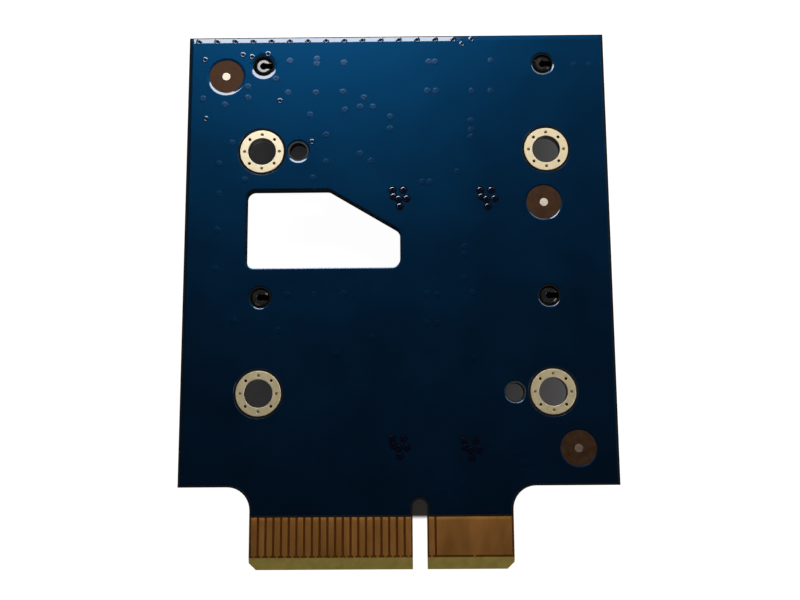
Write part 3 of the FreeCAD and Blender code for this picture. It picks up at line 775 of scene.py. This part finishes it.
# Screw lands with a ring of vias, what fills the vias, dark ink and bronze by turns, and the plating of
# the holes, painted dark as shade. A plug's heights are shares of the copper's.
SCREW_HOLE = 1.9
LAND_SEGMENTS = 96
LAND_EDGE, LAND_LOW = 0.04, 0.5
LAND_VIA_COUNT, LAND_VIA_CIRCLE = 8, 2.4
LAND_VIA_RADIUS, LAND_VIA_EDGE = 0.2, 0.03
LAND_PLUG = [(LAND_VIA_RADIUS, 0.0), (LAND_VIA_RADIUS * 0.97, 0.4), (0.1, 0.55), (0.0, 0.6)]
HOLE_WALL = closed([
    (SCREW_HOLE, board_low.z), (SCREW_HOLE, board_high.z),
    (SCREW_HOLE + copper, board_high.z), (SCREW_HOLE + copper, board_low.z),
])
dark_plugs, bronze_plugs, hole_walls = bmesh.new(), bmesh.new(), bmesh.new()
for name in LANDS:
    centre = middle_of(name).xy
    land = bmesh.new()
    land_vias = [
        centre + Vector((math.cos(a), math.sin(a))) * LAND_VIA_CIRCLE
        for a in (2 * math.pi * step / LAND_VIA_COUNT for step in range(LAND_VIA_COUNT))
    ]
    rings = [(circle(centre, land_radius, segments=LAND_SEGMENTS), LAND_EDGE)]
    rings.append((circle(centre, SCREW_HOLE, hole=True), LAND_EDGE))
    for via in land_vias:
        rings.append((circle(via, LAND_VIA_RADIUS, hole=True, segments=VIA_SEGMENTS), LAND_VIA_EDGE))
    for side in (REAR, FRONT):
        add_sheet(land, rings, side, copper, copper * LAND_LOW)
        add_flat_ring(dark_plugs, centre, land_radius, land_radius + LAND_CLEARANCE, side)
        plug = [(radius, FACE_Z[side] + side * copper * share) for radius, share in LAND_PLUG]
        for number, via in enumerate(land_vias):
            add_turned(dark_plugs if number % 2 else bronze_plugs, via, plug, VIA_SEGMENTS)
    add_turned(hole_walls, centre, HOLE_WALL, ROUND_SEGMENTS)
    piece = new_piece(name.replace("mount_land", "screw_land"), land, land_gold)
    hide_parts(name)
new_piece("land_via_plugs", dark_plugs, plug_ink_and_shade)
new_piece("land_via_fills", bronze_plugs, plug_bronze)
new_piece("screw_hole_walls", hole_walls, shaded_hole_plating)

# Card-edge contacts with rounded long sides, and the plating stubs that run on to the bevel
FINGER_TIP_GAP = 0.12
FINGER_SIDE = [(0.0, 0.0), (0.0, 0.8), (0.015, 0.9), (0.12, 0.96), (0.3, 1.0)]
FINGER_CAP = [(0.40, 1.0), (0.30, 0.90), (0.0, 0.38)]
STUB_WIDTH, STUB_SHARE = 0.3, 0.6
STUB_CAP = [(0.0, 1.0)]
bevel_top = min(point.y for point in card_ring)


def add_bar(bm, left, right, low, high, side, height, cap):
    """A bar along the card with rounded long sides and a cap of (distance from its end, share of the
    height) at its upper end, standing on one face of the board."""
    section = [(left + offset, share) for offset, share in FINGER_SIDE]
    section += [(right - offset, share) for offset, share in reversed(FINGER_SIDE)]
    stations = [(low, height)] + [(high - distance, height * share) for distance, share in cap]
    rows = [
        [bm.verts.new((x, y, FACE_Z[side] + side * share * tall)) for x, share in section]
        for y, tall in stations
    ]
    bm.faces.new(rows[0])
    bm.faces.new(rows[-1])
    for row, following in zip(rows, rows[1:]):
        for step in range(len(section)):
            bm.faces.new((row[step - 1], row[step], following[step], following[step - 1]))


for name, side in (("edge_contacts_rear", REAR), ("edge_contacts_front", FRONT)):
    fingers = bmesh.new()
    for ring in flat_outline(name, FACE_Z[side] + side * copper, side):
        left, low, right, high = plan_box(ring)
        middle = (left + right) / 2
        tip = low + FINGER_TIP_GAP
        add_bar(fingers, left, right, tip, high - FINGER_TOP_GAP, side, copper, FINGER_CAP)
        stub_left, stub_right = middle - STUB_WIDTH / 2, middle + STUB_WIDTH / 2
        add_bar(fingers, stub_left, stub_right, bevel_top, tip, side, copper * STUB_SHARE, STUB_CAP)
    piece = new_piece(name.replace("contacts", "fingers"), fingers, finger_gold)
    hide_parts(name)

# Tips of the receptacles' pegs: a flat ring inside a wide chamfer, slit on the right. Each corner of
# their section is a radius and a height in the model's frame.
PEG_FOOT = [(0.48, 9.9), (1.14, 9.9)]
PEG_CROWN = [(1.12, 9.93), (0.88, 10.06), (0.52, 10.06), (0.48, 10.03)]
PEG_SLIT = 0.8
PEG_LEAN = 0.05


def add_slit_ring(bm, centre, foot, crown, lean, slit, segments=40):
    """A ring with a foot and a leaning crown round an upright axis, open by a slit on its right."""
    rows = []
    for radius, height, slope in [(*at, 0) for at in foot] + [(*at, lean) for at in crown]:
        start = math.asin(slit / 2 / radius)
        turns = [start + (2 * math.pi - 2 * start) * step / segments for step in range(segments + 1)]
        spots = [Vector((radius * math.cos(a), radius * math.sin(a))) for a in turns]
        rows.append([bm.verts.new((*(centre + spot), height - slope * spot.y)) for spot in spots])
    for row, following in zip(rows, rows[1:] + rows[:1]):
        for step in range(segments):
            bm.faces.new((row[step], row[step + 1], following[step + 1], following[step]))
    for end in (0, segments):
        bm.faces.new([row[end] for row in rows])


tips = bmesh.new()
for spot in peg_spots:
    add_slit_ring(tips, spot, PEG_FOOT, PEG_CROWN, PEG_LEAN, PEG_SLIT)
new_piece("socket_peg_tips", tips, peg_plastic, sharp=20)

# Solder joints where tails, leads, tabs and chip ends stand on the board's front face, by the ends of
# the nodes' names: how far the solder spreads, and how far it climbs
JOINTS = {
    "signal_contacts": (0.14, 0.12), "power_contacts": (0.14, 0.12), "tabs": (0.3, 0.2),
    "leads": (0.16, 0.12), "capacitor_ends": (0.3, 0.4), "resistor_ends": (0.22, 0.25),
}
JOINT_EDGE = 0.045
JOINT_STEPS = 5
CORNER_SHARE, CORNER_LEAST = 0.3, 0.03
CORNER_STEPS = 4
SOLID_DIGITS = 3


def islands(name):
    """Corners of each separate solid of a node, in millimetres."""
    mesh = nodes[name].data
    spots = [tuple(round(value / MM, SOLID_DIGITS) for value in vertex.co) for vertex in mesh.vertices]
    leader = {spot: spot for spot in spots}

    def head(spot):
        while leader[spot] != spot:
            spot = leader[spot]
        return spot

    for polygon in mesh.polygons:
        first = head(spots[polygon.vertices[0]])
        for index in polygon.vertices[1:]:
            leader[head(spots[index])] = first
    groups = {}
    for spot in leader:
        groups.setdefault(head(spot), []).append(spot)
    return list(groups.values())


def foot_of(corners):
    """Plan box of the place where a solid stands on the board's front face."""
    return plan_box([corner for corner in corners if board_low.z - corner[2] < copper])


def rounded_box(left, low, right, high, radius):
    """A ring of points round a box with rounded corners, against the clock."""
    ring = []
    corners = ((right, high, 0), (left, high, 1), (left, low, 2), (right, low, 3))
    for x, y, quarter in corners:
        centre = Vector((x + (radius if x == left else -radius), y + (radius if y == low else -radius)))
        for step in range(CORNER_STEPS + 1):
            angle = (quarter + step / CORNER_STEPS) * math.pi / 2
            ring.append(centre + Vector((math.cos(angle), math.sin(angle))) * radius)
    return ring


def add_joint(bm, foot, margin, climb):
    """A pad whose solder climbs in a hollow fillet round a foot."""
    left, low, right, high = foot
    levels = [(margin, 0.0)]
    for step in range(JOINT_STEPS + 1):
        share = step / JOINT_STEPS
        levels.append((margin * (1 - share), JOINT_EDGE + (climb - JOINT_EDGE) * share ** 2))
    rows = []
    for grow, height in levels:
        corner = CORNER_SHARE * grow + CORNER_LEAST
        ring = rounded_box(left - grow, low - grow, right + grow, high + grow, corner)
        rows.append([bm.verts.new((*point, FACE_Z[FRONT] - height)) for point in ring])
    for row, following in zip(rows, rows[1:]):
        for step in range(len(row)):
            bm.faces.new((row[step - 1], row[step], following[step], following[step - 1]))
    bm.faces.new(rows[0])
    bm.faces.new(rows[-1])


joints = bmesh.new()
for name in nodes:
    for kind, (margin, climb) in JOINTS.items():
        if name.endswith(kind):
            for corners in islands(name):
                add_joint(joints, foot_of(corners), margin, climb)
new_piece("solder_joints", joints, solder, sharp=45)

# Finishes of the nodes that stay
FINISHES = {"circuit_board": laminate, "capacitor_bodies": capacitor_ceramic, "capacitor_ends": tin_plate,
            "resistor_bodies": resistor_glaze, "resistor_ends": tin_plate}
# The lowest dot gets the darker copy of the dot copper, as painted shade
FINISHES.update(zip(FIDUCIALS, (dot_copper, dot_copper, shaded_dot_copper)))
for row in ("upper", "lower"):
    FINISHES[f"{row}_socket_housing"] = black_plastic
    FINISHES[f"{row}_socket_signal_contacts"] = contact_gold
    FINISHES[f"{row}_socket_power_contacts"] = contact_gold
    FINISHES[f"{row}_socket_tabs"] = tin_plate
    for number in (1, 2):
        FINISHES[f"{row}_power_switch_{number}_case"] = package_epoxy
        FINISHES[f"{row}_power_switch_{number}_leads"] = tin_plate
for name, material in FINISHES.items():
    slots = nodes[name].data.materials
    slots.clear()
    slots.append(material)

# Stage: a white floor with a painted shadow below the card and its tongue, soft lamps, of which the window
# lamp beyond the card's top edge is the brightest, and a studio with pale walls and a dark ceiling
FLOOR_SIZE = 4.0
FLOOR_WHITE = 0.97
FLOOR_BOUNCE = (0.8, 0.8, 0.8)
FLOOR_DARK = (0.24, 0.232, 0.228)
# The floor's painted shadow below the card, the darker painted shadow below its tongue, and the patch that the
# window leaves open
CARD_SHADOW_INSET, CARD_SHADOW_SOFT = 1.5, 1.2
TONGUE_SHADOW_COLOUR = (0.080, 0.096, 0.104)
TONGUE_SHADOW_REACH, TONGUE_SHADOW_OVERLAP, TONGUE_SHADOW_SOFT = 4.55, 2.0, 0.35
WINDOW_VIEW = ((-23.5, 3.0), (2.5, 18.5))
WINDOW_SOFT = 0.6


def make_floor_material():
    """White where rays that show the floor meet it, but with a painted shadow below the card and a darker
    painted shadow below its tongue. The floor seen through the window is left white, out of the painted
    shadow, though the camera sees more of it than lies below the window. From below, and for shadows, the
    floor isn't there."""
    material = bpy.data.materials.new("floor_white")
    material.use_nodes = True
    tree = material.node_tree
    tree.nodes.clear()
    plan = split(tree, place_coordinates(tree))
    path = add_node(tree, "ShaderNodeLightPath")
    card_low = (board_low.x, shoulder_y + CARD_SHADOW_INSET)
    painted_card_shadow = inside_box(tree, plan, card_low, (board_high.x, board_high.y), CARD_SHADOW_SOFT)
    left, low, right, high = plan_box(window_ring)
    below_window = inside_box(tree, plan, (left, low), (right, high), WINDOW_SOFT)
    in_view = inside_box(tree, plan, *WINDOW_VIEW, WINDOW_SOFT)
    in_view = joined(tree, "MULTIPLY", in_view, path.outputs["Is Camera Ray"])
    open_to_view = joined(tree, "MAXIMUM", below_window, in_view)
    # The glow is taken away below the card as a painted shadow, except where the window leaves it open
    painted_shadow = joined(tree, "MULTIPLY", painted_card_shadow, joined(tree, "SUBTRACT", 1.0, open_to_view))
    tongue_low, tongue_high = node_box("edge_contacts_rear")
    painted_tongue_shadow = inside_box(
        tree, plan, (tongue_low.x, shoulder_y - TONGUE_SHADOW_REACH),
        (tongue_high.x, shoulder_y + TONGUE_SHADOW_OVERLAP), TONGUE_SHADOW_SOFT,
    )
    painted_shadow = joined(tree, "MAXIMUM", painted_shadow, painted_tongue_shadow)
    seen = joined(tree, "ADD", path.outputs["Is Camera Ray"], path.outputs["Is Glossy Ray"])
    seen = joined(tree, "ADD", seen, path.outputs["Is Transmission Ray"], clamp=True)
    glow = joined(tree, "MULTIPLY", joined(tree, "SUBTRACT", 1.0, painted_shadow), seen)
    emission = add_node(tree, "ShaderNodeEmission")
    tree.links.new(joined(tree, "MULTIPLY", glow, FLOOR_WHITE), emission.inputs["Strength"])
    diffuse = add_node(tree, "ShaderNodeBsdfDiffuse")
    # Below the tongue the floor's colour is painted darker still, as shadow
    colour = mixed(tree, painted_tongue_shadow, mixed(tree, seen, FLOOR_BOUNCE, FLOOR_DARK), TONGUE_SHADOW_COLOUR)
    tree.links.new(colour, diffuse.inputs["Color"])
    surface = add_node(tree, "ShaderNodeAddShader")
    tree.links.new(diffuse.outputs["BSDF"], surface.inputs[0])
    tree.links.new(emission.outputs["Emission"], surface.inputs[1])
    one_sided = add_node(tree, "ShaderNodeMixShader")
    behind = add_node(tree, "ShaderNodeNewGeometry").outputs["Backfacing"]
    passing = joined(tree, "ADD", behind, path.outputs["Is Shadow Ray"], clamp=True)
    tree.links.new(passing, one_sided.inputs["Fac"])
    tree.links.new(surface.outputs["Shader"], one_sided.inputs[1])
    tree.links.new(add_node(tree, "ShaderNodeBsdfTransparent").outputs["BSDF"], one_sided.inputs[2])
    output = add_node(tree, "ShaderNodeOutputMaterial")
    tree.links.new(one_sided.outputs["Shader"], output.inputs["Surface"])
    return material


floor_grid = bmesh.new()
bmesh.ops.create_grid(floor_grid, x_segments=1, y_segments=1, size=FLOOR_SIZE / 2)
floor_mesh = bpy.data.meshes.new("floor")
floor_grid.to_mesh(floor_mesh)
floor_grid.free()
floor_mesh.materials.append(make_floor_material())
floor = bpy.data.objects.new("floor", floor_mesh)
scene.collection.objects.link(floor)
floor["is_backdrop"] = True

# Each lamp has a name, a place and an aim in metres, the width and length of its face, and the face's
# brightness
CARD_MIDDLE = (0.0, 0.0, 0.01)
LAMPS = [
    ("window_lamp", WINDOW_LAMP * MM, (-0.08, 0.0, 0.01), (0.24, 0.11), 15.0),
    ("fill_lamp", (0.3, 0.71, 0.71), CARD_MIDDLE, (1.30, 0.32), 4.5),
    ("side_lamp", (0.55, -0.15, 0.30), CARD_MIDDLE, (0.30, 0.30), 3.0),
    ("back_lamp", (-0.40, -0.52, 0.45), CARD_MIDDLE, (0.60, 0.40), 0.5),
    ("under_lamp", (0.1, -0.25, -0.45), (0.0, 0.0, 0.0), (0.45, 0.45), 3.0),
]
for name, place, aim, (width, length), radiance in LAMPS:
    lamp = bpy.data.lights.new(name, "AREA")
    lamp.shape = "RECTANGLE"
    lamp.size, lamp.size_y = width, length
    lamp.energy = radiance * math.pi * width * length
    holder = bpy.data.objects.new(name, lamp)
    direction = Vector(place) - Vector(aim)
    holder.rotation_euler = direction.to_track_quat("Z", "Y").to_euler()
    holder.location = place
    scene.collection.objects.link(holder)

# Light of the studio's walls by the height of the line of sight, from level to upright
STUDIO_WALLS = ((0.0, 1.0), (0.06, 0.85), (0.14, 0.5), (0.25, 0.25), (0.5, 0.1), (0.8, 0.02))
world = bpy.data.worlds.new("studio")
scene.world = world
world.use_nodes = True
studio = world.node_tree
sight = split(studio, add_node(studio, "ShaderNodeTexCoord").outputs["Generated"])
wall_stops = [(level, (light, light, light)) for level, light in STUDIO_WALLS]
wall_light = ramp(studio, sight.outputs["Z"], wall_stops)
studio.links.new(wall_light, studio.nodes["Background"].inputs["Color"])

low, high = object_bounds()
